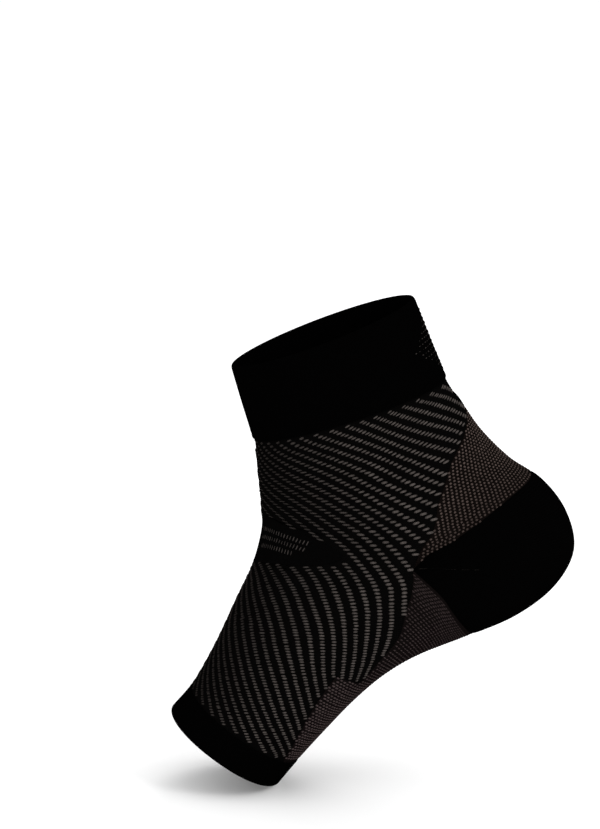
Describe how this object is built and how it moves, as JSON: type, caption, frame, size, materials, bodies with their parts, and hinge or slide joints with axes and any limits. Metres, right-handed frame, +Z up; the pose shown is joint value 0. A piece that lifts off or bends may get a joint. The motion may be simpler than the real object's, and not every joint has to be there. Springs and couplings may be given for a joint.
{
  "type": "arch support sleeve",
  "caption": "Knitted compression sleeve for foot and ankle, open at the toes, with a closed heel pocket, a doubled cuff, a mesh tendon panel and a mesh sole panel.",
  "frame": {"origin": "the point where the back of a heel meets the inside of the heel pocket, on the middle plane", "axes": "+Z up as worn with the heel lifted, +X toward the back of the heel, so the toes point toward -X and down; the middle plane is Y = 0"},
  "size_m": [0.1765, 0.078, 0.2159],
  "materials": {
    "black_welt": "matt doubled knit",
    "ribbed_knit": "matt ribbed knit with grey-brown dashes",
    "woven_oval": "matt close knit",
    "tendon_mesh": "matt fine mesh knit",
    "heel_knit": "matt close knit",
    "sole_mesh": "matt fine mesh knit"
  },
  "bodies": {
    "root": {"cuff_band": "black_welt", "ribbed_body": "ribbed_knit", "instep_patch": "woven_oval", "achilles_panel": "tendon_mesh", "heel_pocket": "heel_knit", "sole_panel": "sole_mesh", "toe_band": "black_welt"}
  },
  "joints": []
}
